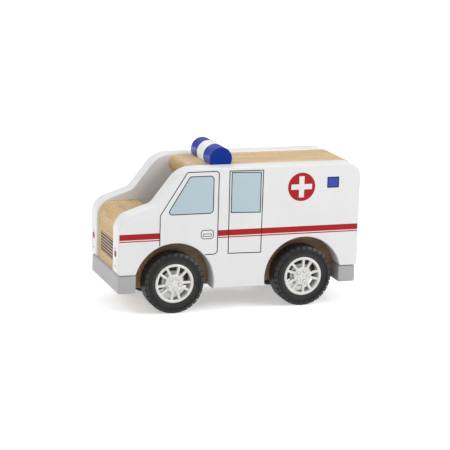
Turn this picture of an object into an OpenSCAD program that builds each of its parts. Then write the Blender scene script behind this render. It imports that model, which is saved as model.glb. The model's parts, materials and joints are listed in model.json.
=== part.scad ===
// Toy ambulance: painted side panels glued and dowelled to beech blocks, on two free-running axles.
// X runs forward to the nose, Y runs to the vehicle's left and Z runs up.
// The origin lies on the ground, below the middle of the body.

/* [Body] */
// Width of the beech blocks between the side panels
core_width = 36.6; // [30:0.2:44]
// Height of the panel tops above the ground
panel_top = 85.6; // [80:0.1:100]
// Height of the underside above the ground
ground_clearance = 13.7; // [10:0.1:16]

/* [Side panels] */
// Thickness of a side panel
panel_thickness = 11.8; // [10.6:0.2:14]
// Height where the nose edge would meet the bonnet line
bonnet_height = 57.8; // [54:0.1:62]
// Distance from the nose back to the foot of the windscreen line
cowl_setback = 22; // [20:0.1:26]
// Height of the foot of the windscreen line
cowl_height = 65.1; // [62:0.1:70]
// Distance from the nose back to the top of the windscreen line
brow_setback = 38; // [34:0.1:42]
// Radius of the nose corner
nose_corner_radius = 10; // [4:0.5:11]
// Radius of the hollow at the foot of the windscreen line
cowl_corner_radius = 6; // [2:0.5:8]
// Radius of the roof corner above the windscreen line
brow_corner_radius = 14; // [4:0.5:16]
// Radius of the rear roof corner
tail_corner_radius = 8; // [3:0.5:12]
// Radius of the low corners above the bumpers
low_corner_radius = 1.8; // [0.5:0.1:3]
// Gap between the tyres and the wheel arches
arch_gap = 6.2; // [4:0.1:7]
// Distance of the wheel arches' centres ahead of the axles
arch_lead = 0.4; // [0:0.1:0.8]
// Length of a side panel ahead of its front wheel arch
front_end_length = 10; // [9:0.1:14]
// Length of a side panel behind its rear wheel arch
rear_end_length = 10.6; // [9:0.1:14]

/* [Blocks] */
// Height of the chassis block
chassis_height = 28.5; // [26:0.5:32]
// Depth of the nose block from front to back
nose_depth = 23.4; // [20:0.2:26]
// Height of the nose block's top above the ground
nose_top = 58.6; // [54:0.1:62]
// Distance of the nose block's face behind the panel edges
nose_setback = 1.6; // [0.5:0.1:3]
// Radius of the nose block's upper front edge
nose_block_radius = 8; // [3:0.5:10]
// Thickness of the roof slab
roof_thickness = 11; // [9:0.2:13]
// Distance of the roof slab's top below the panel tops
roof_drop = 0.4; // [0.1:0.1:1]
// Distance of the roof slab's front end behind the nose
roof_setback = 44.4; // [42:0.2:50]
// Radius of the roof slab's rear edge
roof_rear_radius = 1.5; // [0.5:0.1:3]
// Thickness of the rear wall
rear_wall_thickness = 8.2; // [5.4:0.1:10]

/* [Bumpers] */
// Height of the front bumper bar
bumper_height = 10.7; // [8:0.1:12]
// Height of the rear bumper bar
rear_bumper_height = 9.9; // [8:0.1:12]
// Depth of a bumper bar from front to back
bumper_depth = 10.7; // [9:0.1:10.8]
// Height of the front bumper's underside above the ground
bumper_bottom = 13.4; // [13:0.1:16]
// Distance of the rear bumper's underside below the front one's
rear_bumper_drop = 0.3; // [0:0.1:1.2]
// Distance of the front bumper's face behind the panel edges
front_bumper_setback = 0.5; // [0.2:0.1:1.2]
// Distance of the rear bumper's face ahead of the panel edges
rear_bumper_setback = 0.9; // [0.2:0.1:1.2]
// Distance of a bumper bar's ends inside the panels' outer faces
bumper_side_inset = 0.8; // [0.1:0.1:1]
// Gap between a bumper bar and the panels above it
bumper_gap = 0.4; // [0.1:0.1:0.6]
// Radius of a bumper bar's long edges
bumper_edge_radius = 0.8; // [0.3:0.1:2]

/* [Roof light] */
// Diameter of the light bar before its flat is cut
light_diameter = 14; // [11:0.2:16]
// Height of the light bar above the roof slab
light_height = 10.4; // [8:0.1:10.9]
// Distance of the light bar's ends inside the roof slab's sides
light_end_inset = 0.2; // [0.1:0.1:4]
// Distance of the light bar's middle behind the nose
light_setback = 64.9; // [60:0.1:75]

/* [Wheels] */
// Distance between the axles
wheelbase = 80; // [76:0.5:82]
// Diameter of a tyre
tyre_diameter = 36; // [33:0.5:38]
// Width of a tyre
tyre_width = 10.8; // [9:0.1:12]
// Width of the flat tread
tread_width = 7; // [4:0.1:7]
// Height of the shoulder from the sidewall's edge to the tread
shoulder_height = 1.9; // [1:0.1:2.5]
// Count of tread blocks round a shoulder
tread_blocks = 30; // [20:1:36]
// Width of a cut between two tread blocks
tread_cut_width = 0.6; // [0.3:0.1:1]
// Depth of a cut between two tread blocks
tread_cut_depth = 1.1; // [0.5:0.1:1.5]
// Length of a cut between two tread blocks, across the tyre
tread_cut_length = 3.9; // [2.5:0.1:4.2]
// Diameter of a rim
rim_diameter = 23.4; // [21:0.2:25]
// Thickness of a rim's barrel
barrel_thickness = 1.3; // [0.8:0.1:1.8]
// Diameter of the hub pad that carries the spokes
hub_pad_diameter = 10.2; // [9.6:0.1:12]
// Rise of the hub pad's faces beyond the spokes' faces
hub_pad_rise = 0.2; // [0.1:0.05:0.3]
// Width of a spoke
spoke_width = 1.7; // [1.2:0.1:2.2]
// Thickness of a spoke
spoke_thickness = 1.8; // [1.2:0.1:2.4]
// Depth of the spokes' face inside the tyre's outer face
spoke_recess = 0.6; // [0.3:0.1:1.2]
// Count of spoke pairs in a rim
spoke_pairs = 5; // [4:1:6]
// Angle between the two spokes of a pair
spoke_pair_angle = 29; // [24:1:34]
// Diameter of the drum behind the spokes
drum_diameter = 14.6; // [13:0.2:16]
// Thickness of the drum behind the spokes
drum_thickness = 1.6; // [1:0.1:2.4]
// Gap between the drum and the spokes in front of it
drum_gap = 1.2; // [0.6:0.1:2]
// Diameter of a wheel nut's bump
nut_diameter = 2.2; // [1.6:0.1:2.6]
// Height of a wheel nut's bump
nut_height = 0.3; // [0.2:0.05:0.4]
// Radius of the circle of wheel nuts
nut_circle_radius = 3.55; // [3:0.05:3.6]
// Turn of the front wheels
front_wheel_turn = 23.5; // [0:0.5:72]
// Turn of the rear wheels
rear_wheel_turn = 37; // [0:0.5:72]

/* [Axles] */
// Diameter of an axle
axle_diameter = 4; // [3:0.1:4.6]
// Depth of an axle's end inside a hub
axle_grip = 7; // [5:0.1:7.2]
// Diameter of the hub boss round an axle
boss_diameter = 7; // [6:0.1:8.5]

/* [Dowels] */
// Diameter of a main dowel
dowel_diameter = 5; // [4:0.5:6]
// Depth of a main dowel in a side panel or a bumper
dowel_short_grip = 6; // [4:0.5:7]
// Depth of a main dowel in a beech block
dowel_long_grip = 11; // [8:0.5:12]
// Diameter of a thin dowel, in the rear wall and the light bar
thin_dowel_diameter = 4; // [3:0.5:4.5]
// Depth of a thin dowel in the rear wall and the light bar
thin_dowel_short_grip = 4; // [3:0.5:4.5]
// Depth of a thin dowel in the chassis block or the roof slab
thin_dowel_long_grip = 7; // [5:0.5:8]
// Distance of paired dowels from the middle of the body
dowel_pair_offset = 9; // [7:0.5:11]

/* [Fits] */
// Clearance round an axle in its bore, on the radius
axle_clearance = 0.06; // [0.02:0.01:0.1]
// Clearance round a dowel for glue, on the radius
glue_clearance = 0.05; // [0.02:0.01:0.1]
// Space at the blind end of a dowel's hole
dowel_end_space = 0.5; // [0.3:0.1:0.8]
// Running gap between a hub boss and the chassis block
boss_gap = 0.3; // [0.2:0.05:0.5]
// Running gap between a tyre and the chassis block
tyre_gap = 0.7; // [0.5:0.05:1]

/* [Hidden] */
$fn = 64;

// Faces in one rounded corner of an outline
corner_steps = 10;
// Faces in one rounded corner of a tyre's section
tyre_corner_steps = 3;
// Overrun of every cut
overrun = 1;
// Radius of a tyre's shoulder and of its tread's edge
tyre_edge_radius = 0.8;
// Distance of the sidewall at the rim inside the tyre's widest part
sidewall_dish = 0.4;
// Distance of the rim's barrel inside the tyre's widest part
barrel_inset = 0.3;
// Places of the chassis dowels, as shares of the wheelbase from the rear axle
chassis_dowel_shares = [0.4, 0.6];
// Places of the roof dowels, as shares of the roof slab's length from its rear
roof_dowel_shares = [0.2, 0.65];
// Place of the nose dowel in the side panels, as shares of the nose block's depth and height
nose_dowel_depth_share = 0.5;
nose_dowel_height_share = 0.66;
// Height of the chassis dowels in the side panels, as a share of the chassis height
chassis_dowel_height_share = 0.5;
// Height of the dowels at the chassis ends, as a share of the chassis height
chassis_end_dowel_share = 0.68;

// Places along the body
tyre_radius = tyre_diameter / 2;
arch_radius = tyre_radius + arch_gap;
front_overhang = arch_radius + front_end_length;
rear_overhang = arch_radius + rear_end_length;
body_length = rear_overhang + wheelbase + front_overhang;
front_x = body_length / 2;
rear_x = -body_length / 2;
front_arch_x = front_x - front_overhang;
rear_arch_x = rear_x + rear_overhang;
front_axle_x = front_arch_x - arch_lead;
rear_axle_x = rear_arch_x - arch_lead;
nose_front_x = front_x - nose_setback;
nose_back_x = nose_front_x - nose_depth;
front_bumper_face_x = front_x - front_bumper_setback;
front_bumper_back_x = front_bumper_face_x - bumper_depth;
rear_bumper_face_x = rear_x + rear_bumper_setback;
rear_bumper_back_x = rear_bumper_face_x + bumper_depth;
chassis_rear_x = rear_bumper_back_x;
rear_wall_back_x = chassis_rear_x - rear_wall_thickness;
roof_front_x = front_x - roof_setback;
light_x = front_x - light_setback;

// Places across the body
core_side_y = core_width / 2;
panel_side_y = core_side_y + panel_thickness;
bumper_end_y = panel_side_y - bumper_side_inset;
wheel_inner_y = core_side_y + tyre_gap;
light_length = core_width - 2 * light_end_inset;

// Heights
axle_z = tyre_diameter / 2;
chassis_top_z = ground_clearance + chassis_height;
bumper_top_z = bumper_bottom + bumper_height;
bumper_middle_z = bumper_bottom + bumper_height / 2;
panel_notch_z = bumper_top_z + bumper_gap;
rear_bumper_bottom_z = bumper_bottom - rear_bumper_drop;
rear_bumper_top_z = rear_bumper_bottom_z + rear_bumper_height;
rear_bumper_middle_z = rear_bumper_bottom_z + rear_bumper_height / 2;
rear_panel_notch_z = rear_bumper_top_z + bumper_gap;
roof_top_z = panel_top - roof_drop;
roof_under_z = roof_top_z - roof_thickness;
light_centre_z = roof_top_z + light_height - light_diameter / 2;
chassis_end_dowel_z = ground_clearance + chassis_height * chassis_end_dowel_share;

// Sizes of the wheels
rim_radius = rim_diameter / 2;
barrel_radius = rim_radius - barrel_thickness;
shoulder_radius = tyre_radius - shoulder_height;
tread_edge = (tyre_width - tread_width) / 2;
spoke_face = tyre_width - spoke_recess;
spoke_back = spoke_face - spoke_thickness;
spoke_middle = spoke_face - spoke_thickness / 2;
pad_face = spoke_face + hub_pad_rise;
drum_face = spoke_back - drum_gap;
spoke_reach = rim_radius - barrel_thickness / 2;
boss_end = boss_gap - tyre_gap;
axle_reach = core_side_y + boss_gap + axle_grip;

// Places of the dowels between a side panel and the blocks, along and up
panel_dowel_places = concat(
    [for (share = chassis_dowel_shares)
        [rear_axle_x + wheelbase * share, ground_clearance + chassis_height * chassis_dowel_height_share]],
    [for (share = roof_dowel_shares)
        [rear_wall_back_x + (roof_front_x - rear_wall_back_x) * share, roof_top_z - roof_thickness / 2]],
    [[nose_back_x + nose_depth * nose_dowel_depth_share,
        ground_clearance + (nose_top - ground_clearance) * nose_dowel_height_share]]
);

// Corners of the outlines, each with its place along and up, and its radius
side_panel_corners = [
    [front_x, panel_notch_z, low_corner_radius],
    [front_x, bonnet_height, nose_corner_radius],
    [front_x - cowl_setback, cowl_height, cowl_corner_radius],
    [front_x - brow_setback, panel_top, brow_corner_radius],
    [rear_x, panel_top, tail_corner_radius],
    [rear_x, rear_panel_notch_z, low_corner_radius],
    [rear_arch_x, rear_panel_notch_z, 0],
    [rear_arch_x, ground_clearance, 0],
    [front_arch_x, ground_clearance, 0],
    [front_arch_x, panel_notch_z, 0]
];
nose_block_corners = [
    [nose_back_x, ground_clearance, 0],
    [front_bumper_back_x, ground_clearance, 0],
    [front_bumper_back_x, bumper_top_z, 0],
    [nose_front_x, bumper_top_z, 0],
    [nose_front_x, nose_top, nose_block_radius],
    [nose_back_x, nose_top, 0]
];
roof_slab_corners = [
    [rear_wall_back_x, roof_under_z, 0],
    [roof_front_x - roof_thickness / 2, roof_under_z, 0],
    [roof_front_x - roof_thickness / 2, roof_top_z, 0],
    [rear_wall_back_x, roof_top_z, roof_rear_radius]
];
tyre_corners = [
    [rim_radius, sidewall_dish, 0],
    [shoulder_radius, 0, tyre_edge_radius],
    [tyre_radius, tread_edge, tyre_edge_radius],
    [tyre_radius, tyre_width - tread_edge, tyre_edge_radius],
    [shoulder_radius, tyre_width, tyre_edge_radius],
    [rim_radius, tyre_width - sidewall_dish, 0]
];

function place(corner) = [corner[0], corner[1]];
function unit(v) = v / norm(v);

// Points of one corner: the corner itself, or an arc that touches both of its edges
function corner_points(before, corner, after, steps) =
    corner[2] == 0 ? [place(corner)] :
    let (
        tip = place(corner),
        radius = corner[2],
        back = unit(place(before) - tip),
        ahead = unit(place(after) - tip),
        half_angle = acos(back * ahead) / 2,
        centre = tip + unit(back + ahead) * radius / sin(half_angle),
        first = tip + back * radius / tan(half_angle) - centre,
        last = tip + ahead * radius / tan(half_angle) - centre,
        start = atan2(first.y, first.x),
        sweep = (atan2(last.y, last.x) - start + 540) % 360 - 180
    )
    [for (i = [0 : steps])
        centre + radius * [cos(start + sweep * i / steps), sin(start + sweep * i / steps)]];

// Points of an outline from its corners
function outline(corners, steps = corner_steps) =
    let (count = len(corners))
    [for (i = [0 : count - 1])
        each corner_points(corners[(i + count - 1) % count], corners[i], corners[(i + 1) % count], steps)];

// A slab with an outline drawn along and up, between two places across
module slab(corners, from_y, to_y) {
    translate([0, to_y, 0])
        rotate([90, 0, 0])
            linear_extrude(to_y - from_y)
                polygon(outline(corners));
}

// Round rods across, along and up
module rod_across(x, z, from_y, to_y, diameter) {
    translate([x, from_y, z])
        rotate([-90, 0, 0])
            cylinder(d = diameter, h = to_y - from_y);
}

module rod_along(y, z, from_x, to_x, diameter) {
    translate([from_x, y, z])
        rotate([0, 90, 0])
            cylinder(d = diameter, h = to_x - from_x);
}

module rod_up(x, y, from_z, to_z, diameter) {
    translate([x, y, from_z])
        cylinder(d = diameter, h = to_z - from_z);
}

// The same shape on the left side, or mirrored to the right side
module on_side(side) {
    mirror([0, side < 0 ? 1 : 0, 0])
        children();
}

// Dowels, or their holes when they are given room round the sides and at the ends
module panel_dowel_rods(room = 0, end_room = 0) {
    for (place = panel_dowel_places)
        rod_across(place.x, place.y, core_side_y - dowel_long_grip - end_room,
            core_side_y + dowel_short_grip + end_room, dowel_diameter + 2 * room);
}

module nose_dowel_rods(room = 0, end_room = 0) {
    for (side = [-1, 1])
        rod_along(side * dowel_pair_offset, chassis_end_dowel_z, nose_back_x - dowel_long_grip - end_room,
            nose_back_x + dowel_long_grip + end_room, dowel_diameter + 2 * room);
}

module rear_wall_dowel_rods(room = 0, end_room = 0) {
    for (side = [-1, 1])
        rod_along(side * dowel_pair_offset, chassis_end_dowel_z, chassis_rear_x - thin_dowel_short_grip - end_room,
            chassis_rear_x + thin_dowel_long_grip + end_room, thin_dowel_diameter + 2 * room);
}

module front_bumper_dowel_rods(room = 0, end_room = 0) {
    for (side = [-1, 1])
        rod_along(side * dowel_pair_offset, bumper_middle_z, front_bumper_back_x - dowel_long_grip - end_room,
            front_bumper_back_x + dowel_short_grip + end_room, dowel_diameter + 2 * room);
}

module rear_bumper_dowel_rods(room = 0, end_room = 0) {
    for (side = [-1, 1])
        rod_along(side * dowel_pair_offset, rear_bumper_middle_z, rear_bumper_back_x - dowel_short_grip - end_room,
            rear_bumper_back_x + dowel_long_grip + end_room, dowel_diameter + 2 * room);
}

module light_dowel_rods(room = 0, end_room = 0) {
    for (side = [-1, 1])
        rod_up(light_x, side * dowel_pair_offset, roof_top_z - thin_dowel_long_grip - end_room,
            roof_top_z + thin_dowel_short_grip + end_room, thin_dowel_diameter + 2 * room);
}

// Floor block that carries both axles, with a bore for each
module chassis_block() {
    color("burlywood")
    difference() {
        translate([chassis_rear_x, -core_side_y, ground_clearance])
            cube([nose_back_x - chassis_rear_x, core_width, chassis_height]);
        for (x = [front_axle_x, rear_axle_x])
            rod_across(x, axle_z, -core_side_y - overrun, core_side_y + overrun,
                axle_diameter + 2 * axle_clearance);
        for (side = [-1, 1])
            on_side(side) panel_dowel_rods(glue_clearance, dowel_end_space);
        nose_dowel_rods(glue_clearance, dowel_end_space);
        rear_wall_dowel_rods(glue_clearance, dowel_end_space);
        rear_bumper_dowel_rods(glue_clearance, dowel_end_space);
    }
}

// Bonnet and radiator block, rebated below for the front bumper
module nose_block() {
    color("tan")
    difference() {
        slab(nose_block_corners, -core_side_y, core_side_y);
        for (side = [-1, 1])
            on_side(side) panel_dowel_rods(glue_clearance, dowel_end_space);
        nose_dowel_rods(glue_clearance, dowel_end_space);
        front_bumper_dowel_rods(glue_clearance, dowel_end_space);
    }
}

// Roof with a full round front edge
module roof_slab() {
    color("burlywood")
    difference() {
        union() {
            slab(roof_slab_corners, -core_side_y, core_side_y);
            rod_across(roof_front_x - roof_thickness / 2, roof_top_z - roof_thickness / 2,
                -core_side_y, core_side_y, roof_thickness);
        }
        for (side = [-1, 1])
            on_side(side) panel_dowel_rods(glue_clearance, dowel_end_space);
        light_dowel_rods(glue_clearance, dowel_end_space);
    }
}

// Board that closes the back, between the bumper and the roof
module rear_wall() {
    color("burlywood")
    difference() {
        translate([rear_wall_back_x, -core_side_y, rear_bumper_top_z])
            cube([rear_wall_thickness, core_width, roof_under_z - rear_bumper_top_z]);
        rear_wall_dowel_rods(glue_clearance, dowel_end_space);
    }
}

// Side panel with its two wheel arches and the blind holes for its dowels
module side_panel() {
    color("whitesmoke")
    difference() {
        slab(side_panel_corners, core_side_y, panel_side_y);
        for (x = [front_arch_x, rear_arch_x])
            rod_across(x, axle_z, core_side_y - overrun, panel_side_y + overrun, 2 * arch_radius);
        panel_dowel_rods(glue_clearance, dowel_end_space);
    }
}

module left_side_panel() {
    on_side(1) side_panel();
}

module right_side_panel() {
    on_side(-1) side_panel();
}

// Bumper bar across the whole body, with its rounded long edges
module bumper_bar(from_x, to_x, from_z, to_z) {
    slab([
        [from_x, from_z, bumper_edge_radius],
        [to_x, from_z, bumper_edge_radius],
        [to_x, to_z, bumper_edge_radius],
        [from_x, to_z, bumper_edge_radius]
    ], -bumper_end_y, bumper_end_y);
}

module front_bumper() {
    color("silver")
    difference() {
        bumper_bar(front_bumper_back_x, front_bumper_face_x, bumper_bottom, bumper_top_z);
        front_bumper_dowel_rods(glue_clearance, dowel_end_space);
    }
}

module rear_bumper() {
    color("silver")
    difference() {
        bumper_bar(rear_bumper_face_x, rear_bumper_back_x, rear_bumper_bottom_z, rear_bumper_top_z);
        rear_bumper_dowel_rods(glue_clearance, dowel_end_space);
    }
}

// Round bar with a flat where it lies on the roof
module light_bar() {
    color("mediumblue")
    difference() {
        rod_across(light_x, light_centre_z, -light_length / 2, light_length / 2, light_diameter);
        translate([light_x - light_diameter, -light_length, roof_top_z - light_diameter])
            cube([2 * light_diameter, 2 * light_length, light_diameter]);
        light_dowel_rods(glue_clearance, dowel_end_space);
    }
}

module left_panel_dowels() {
    color("wheat") on_side(1) panel_dowel_rods();
}

module right_panel_dowels() {
    color("wheat") on_side(-1) panel_dowel_rods();
}

module nose_dowels() {
    color("wheat") nose_dowel_rods();
}

module rear_wall_dowels() {
    color("wheat") rear_wall_dowel_rods();
}

module front_bumper_dowels() {
    color("wheat") front_bumper_dowel_rods();
}

module rear_bumper_dowels() {
    color("wheat") rear_bumper_dowel_rods();
}

module light_bar_dowels() {
    color("wheat") light_dowel_rods();
}

// Axle that holds a wheel at each end
module axle(x) {
    color("lightsteelblue")
        rod_across(x, axle_z, -axle_reach, axle_reach, axle_diameter);
}

module front_axle() {
    axle(front_axle_x);
}

module rear_axle() {
    axle(rear_axle_x);
}

// Places a wheel's piece, drawn with its outer face up, on the end of an axle
module on_axle(x, side, turn) {
    on_side(side)
        translate([x, wheel_inner_y, axle_z])
            rotate([-90, 0, 0])
                rotate([0, 0, turn])
                    children();
}

// Rim: barrel, spokes in pairs, hub pad with nuts, drum behind the spokes and a boss with a blind bore
module rim() {
    color("gainsboro")
    difference() {
        union() {
            rotate_extrude()
                translate([barrel_radius, barrel_inset])
                    square([barrel_thickness, tyre_width - 2 * barrel_inset]);
            for (pair = [0 : spoke_pairs - 1], half = [-1, 1])
                rotate([0, 0, pair * 360 / spoke_pairs + half * spoke_pair_angle / 2])
                    translate([nut_circle_radius, -spoke_width / 2, spoke_back])
                        cube([spoke_reach - nut_circle_radius, spoke_width, spoke_thickness]);
            translate([0, 0, spoke_back - hub_pad_rise])
                cylinder(d = hub_pad_diameter, h = spoke_thickness + 2 * hub_pad_rise);
            for (pair = [0 : spoke_pairs - 1])
                rotate([0, 0, pair * 360 / spoke_pairs])
                    translate([nut_circle_radius, 0, spoke_middle])
                        cylinder(d = nut_diameter, h = pad_face + nut_height - spoke_middle);
            translate([0, 0, drum_face - drum_thickness])
                cylinder(d = drum_diameter, h = drum_thickness);
            translate([0, 0, boss_end])
                cylinder(d = boss_diameter, h = spoke_middle - boss_end);
        }
        translate([0, 0, boss_end - overrun])
            cylinder(d = axle_diameter, h = axle_grip + overrun);
    }
}

module front_left_rim() {
    on_axle(front_axle_x, 1, front_wheel_turn) rim();
}

module front_right_rim() {
    on_axle(front_axle_x, -1, front_wheel_turn) rim();
}

module rear_left_rim() {
    on_axle(rear_axle_x, 1, rear_wheel_turn) rim();
}

module rear_right_rim() {
    on_axle(rear_axle_x, -1, rear_wheel_turn) rim();
}

// Cuts between the tread blocks of one shoulder
module tread_cuts() {
    for (block = [0 : tread_blocks - 1])
        rotate([0, 0, block * 360 / tread_blocks])
            translate([tyre_radius - tread_cut_depth, -tread_cut_width / 2, -overrun])
                cube([tread_cut_depth + overrun, tread_cut_width, tread_cut_length + overrun]);
}

// Tyre with a flat tread, sloping shoulders and cuts between its tread blocks
module tyre() {
    color("darkslategray")
    difference() {
        rotate_extrude()
            polygon(outline(tyre_corners, tyre_corner_steps));
        tread_cuts();
        translate([0, 0, tyre_width])
            mirror([0, 0, 1])
                tread_cuts();
    }
}

module front_left_tyre() {
    on_axle(front_axle_x, 1, front_wheel_turn) tyre();
}

module front_right_tyre() {
    on_axle(front_axle_x, -1, front_wheel_turn) tyre();
}

module rear_left_tyre() {
    on_axle(rear_axle_x, 1, rear_wheel_turn) tyre();
}

module rear_right_tyre() {
    on_axle(rear_axle_x, -1, rear_wheel_turn) tyre();
}

chassis_block();
nose_block();
roof_slab();
rear_wall();
left_side_panel();
right_side_panel();
front_bumper();
rear_bumper();
light_bar();
left_panel_dowels();
right_panel_dowels();
nose_dowels();
rear_wall_dowels();
front_bumper_dowels();
rear_bumper_dowels();
light_bar_dowels();
front_axle();
rear_axle();
front_left_rim();
front_right_rim();
rear_left_rim();
rear_right_rim();
front_left_tyre();
front_right_tyre();
rear_left_tyre();
rear_right_tyre();
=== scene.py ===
# Toy ambulance: painted side panels on beech blocks, printed markings, pale rims and rubber tyres.
import json
import math

import bmesh
import bpy
from mathutils import Matrix, Vector


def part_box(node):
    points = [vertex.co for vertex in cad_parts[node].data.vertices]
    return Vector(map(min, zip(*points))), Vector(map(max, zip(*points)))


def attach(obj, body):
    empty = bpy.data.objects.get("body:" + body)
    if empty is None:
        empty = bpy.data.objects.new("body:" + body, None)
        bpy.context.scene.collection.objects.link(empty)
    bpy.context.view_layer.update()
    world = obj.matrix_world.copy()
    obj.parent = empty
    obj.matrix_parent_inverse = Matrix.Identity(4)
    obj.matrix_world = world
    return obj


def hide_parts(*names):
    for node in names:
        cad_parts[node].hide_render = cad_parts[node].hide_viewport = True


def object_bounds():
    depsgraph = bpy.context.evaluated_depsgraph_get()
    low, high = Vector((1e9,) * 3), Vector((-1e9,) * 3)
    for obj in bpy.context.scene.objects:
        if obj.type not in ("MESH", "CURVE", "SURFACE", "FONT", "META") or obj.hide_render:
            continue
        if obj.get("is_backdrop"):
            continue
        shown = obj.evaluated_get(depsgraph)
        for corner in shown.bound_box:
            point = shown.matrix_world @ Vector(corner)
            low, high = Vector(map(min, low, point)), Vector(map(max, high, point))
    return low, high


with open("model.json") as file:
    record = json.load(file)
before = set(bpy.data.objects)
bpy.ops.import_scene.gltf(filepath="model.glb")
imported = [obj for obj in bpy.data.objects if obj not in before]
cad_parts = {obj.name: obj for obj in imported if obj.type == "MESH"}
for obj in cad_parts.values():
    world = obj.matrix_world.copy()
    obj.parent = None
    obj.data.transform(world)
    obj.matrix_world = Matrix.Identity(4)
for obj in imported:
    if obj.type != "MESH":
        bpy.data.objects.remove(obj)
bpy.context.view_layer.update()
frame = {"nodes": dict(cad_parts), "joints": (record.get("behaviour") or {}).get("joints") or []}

# Sizes are in millimetres where nothing else is said, and the meshes are made in metres
MM = 0.001


# Places of the solids
def solid_box(node):
    """The lowest and highest corner of a solid."""
    low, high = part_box(node)
    return low / MM, high / MM


panel_low, panel_high = solid_box("left_side_panel")
nose_low, nose_high = solid_box("nose_block")
roof_low, roof_high = solid_box("roof_slab")
chassis_low, chassis_high = solid_box("chassis_block")
wall_low, wall_high = solid_box("rear_wall")
front_bumper_low, front_bumper_high = solid_box("front_bumper")
rear_bumper_low, rear_bumper_high = solid_box("rear_bumper")
light_low, light_high = solid_box("light_bar")
tyre_low = solid_box("front_left_tyre")[0]
axle_places = [Vector(joint["pos_m"]) / MM for joint in frame["joints"]]
front_axle = max(axle_places, key=lambda place: place.x)
rear_axle = min(axle_places, key=lambda place: place.x)

# Side panels. The ink room keeps the printed ink inside the solids' box
ink_room = 0.04
panel_face_y = panel_high.y - ink_room
panel_front_x = panel_high.x - ink_room
panel_edge_radius = 0.65
bumper_gap = 0.4
notch_z = front_bumper_high.z + bumper_gap
rear_notch_z = rear_bumper_high.z + bumper_gap
bonnet_length = 22
bonnet_height = 57.8
bonnet_radius = 10
cowl_x = panel_high.x - bonnet_length
cowl_height = 65.1
cowl_radius = 6
brow_setback = 38
brow_x = panel_high.x - brow_setback
brow_radius = 14
rear_top_radius = 8
lower_corner_radius = 1.8
arch_radius = 24.2
arch_sides = 144
arch_lead = 0.4
front_arch_x = front_axle.x + arch_lead
rear_arch_x = rear_axle.x + arch_lead

# Blocks and bars
wood_edge_radius = 0.35
nose_top_radius = 8
# a hair under half the slab's height, so that the two rounded edges don't meet
roof_front_radius = (roof_high.z - roof_low.z) / 2 * 0.995
roof_rear_radius = 1.5
bore_radius = 2.06
bumper_edge_radius = 0.9
light_diameter = 14
light_edge_radius = 0.45

# Wheels, drawn with their middle at the origin and their outer face to the left
wheel_inner_y = tyre_low.y
tyre_radius = 18
tyre_width = 10.7
rim_radius = 11.7
lip_thickness = 1.7
lip_face_y = 10.5
lip_depth = 4.4
lip_edge_radius = 0.55
barrel_thickness = 0.4
barrel_inset = 0.3
barrel_edge_radius = 0.12
shoulder_slope = 0.9
shoulder_height = 1.9
shoulder_bend = 0.9
shoulder_bend_rise = 0.45
ring_groove_depth = 0.55
sidewall_drop = 0.4
rib_rise = 0.35
bead_drop = 0.1
tread_blocks = 30
columns_per_block = 8
# the tread's grooves and the starts of its shoulder blocks, from the middle of the tread outwards
groove_from = 0.5
groove_to = 1.0
groove_wall = 0.1
block_from = 2.2
block_wall = 0.04
tread_depth = 0.7
# faces this near to the tread's radius are the tread, and this far above the shoulder's foot its blocks
tread_band = 0.3
shoulder_foot = 0.1
spoke_pairs = 5
spoke_pair_angle = 29
spoke_width = 1.5
spoke_thickness = 1.8
spoke_face_y = 10.2
spoke_edge_radius = 0.35
hub_pad_radius = 5.4
hub_pad_rise = 0.2
hub_pad_edge_radius = 0.3
nut_radius = 0.98
nut_root = 1
nut_rise = 0.4
nut_edge_radius = 0.45
nut_circle_radius = 3.4
nut_recess = 0.35
nut_recess_radius = 1.42
drum_radius = 6.9
drum_face_y = 7.2
drum_thickness = 1.6
drum_edge_radius = 0.4
stud_circle_radius = 6.1
stud_radius = 0.65
stud_root = 0.3
stud_rise = 0.5
stud_edge_radius = 0.25
boss_radius = 3.5
boss_end_y = -0.4
boss_overlap = 0.9
boss_edge_radius = 0.3
front_wheel_turn = 23.5
rear_wheel_turn = 37

# Inks
fill_ink_depth = 0.02
line_ink_depth = 0.03
line_width = 0.54


# Modelling by hand. Edges sharper than the sharp angle, in degrees, are rounded or stay sharp when shaded
sharp_angle = 40
# How far a cutter stands out of the piece that it cuts
cutter_reach = 1
# How far off a point or an edge may lie and still be picked
pick_room = 0.02


def deselect_all():
    if bpy.context.mode != "OBJECT":
        bpy.ops.object.mode_set(mode="OBJECT")
    bpy.ops.object.select_all(action="DESELECT")


def pick_piece(piece):
    """Makes a piece the only one that is selected, and the active one."""
    deselect_all()
    piece.select_set(True)
    bpy.context.view_layer.objects.active = piece


def start_piece(add_primitive, name, stretch, **place):
    """Adds a primitive, stretches it to its size and leaves its place in its mesh."""
    deselect_all()
    add_primitive(**place)
    piece = bpy.context.object
    piece.name = name
    piece.data.name = name
    piece.scale = stretch
    bpy.ops.object.transform_apply(location=True, rotation=True, scale=True)
    return piece


def start_block(name, corner, other):
    """A block between two opposite corners."""
    corner = Vector(corner) * MM
    other = Vector(other) * MM
    size = [abs(a - b) for a, b in zip(corner, other)]
    middle = (corner + other) / 2
    return start_piece(bpy.ops.mesh.primitive_cube_add, name, size, size=1, location=middle)


def start_rod(name, x, z, from_y, to_y, radius, sides):
    """A round rod across the toy."""
    middle = Vector((x, (from_y + to_y) / 2, z)) * MM
    return start_piece(
        bpy.ops.mesh.primitive_cylinder_add, name, (1, 1, 1), vertices=sides, radius=radius * MM,
        depth=abs(to_y - from_y) * MM, location=middle, rotation=(math.radians(90), 0, 0))


def open_mesh(piece):
    """Opens a piece for editing, with all of it selected."""
    pick_piece(piece)
    bpy.ops.object.mode_set(mode="EDIT")
    bpy.ops.mesh.select_all(action="SELECT")


def close_mesh():
    bpy.ops.object.mode_set(mode="OBJECT")


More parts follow.
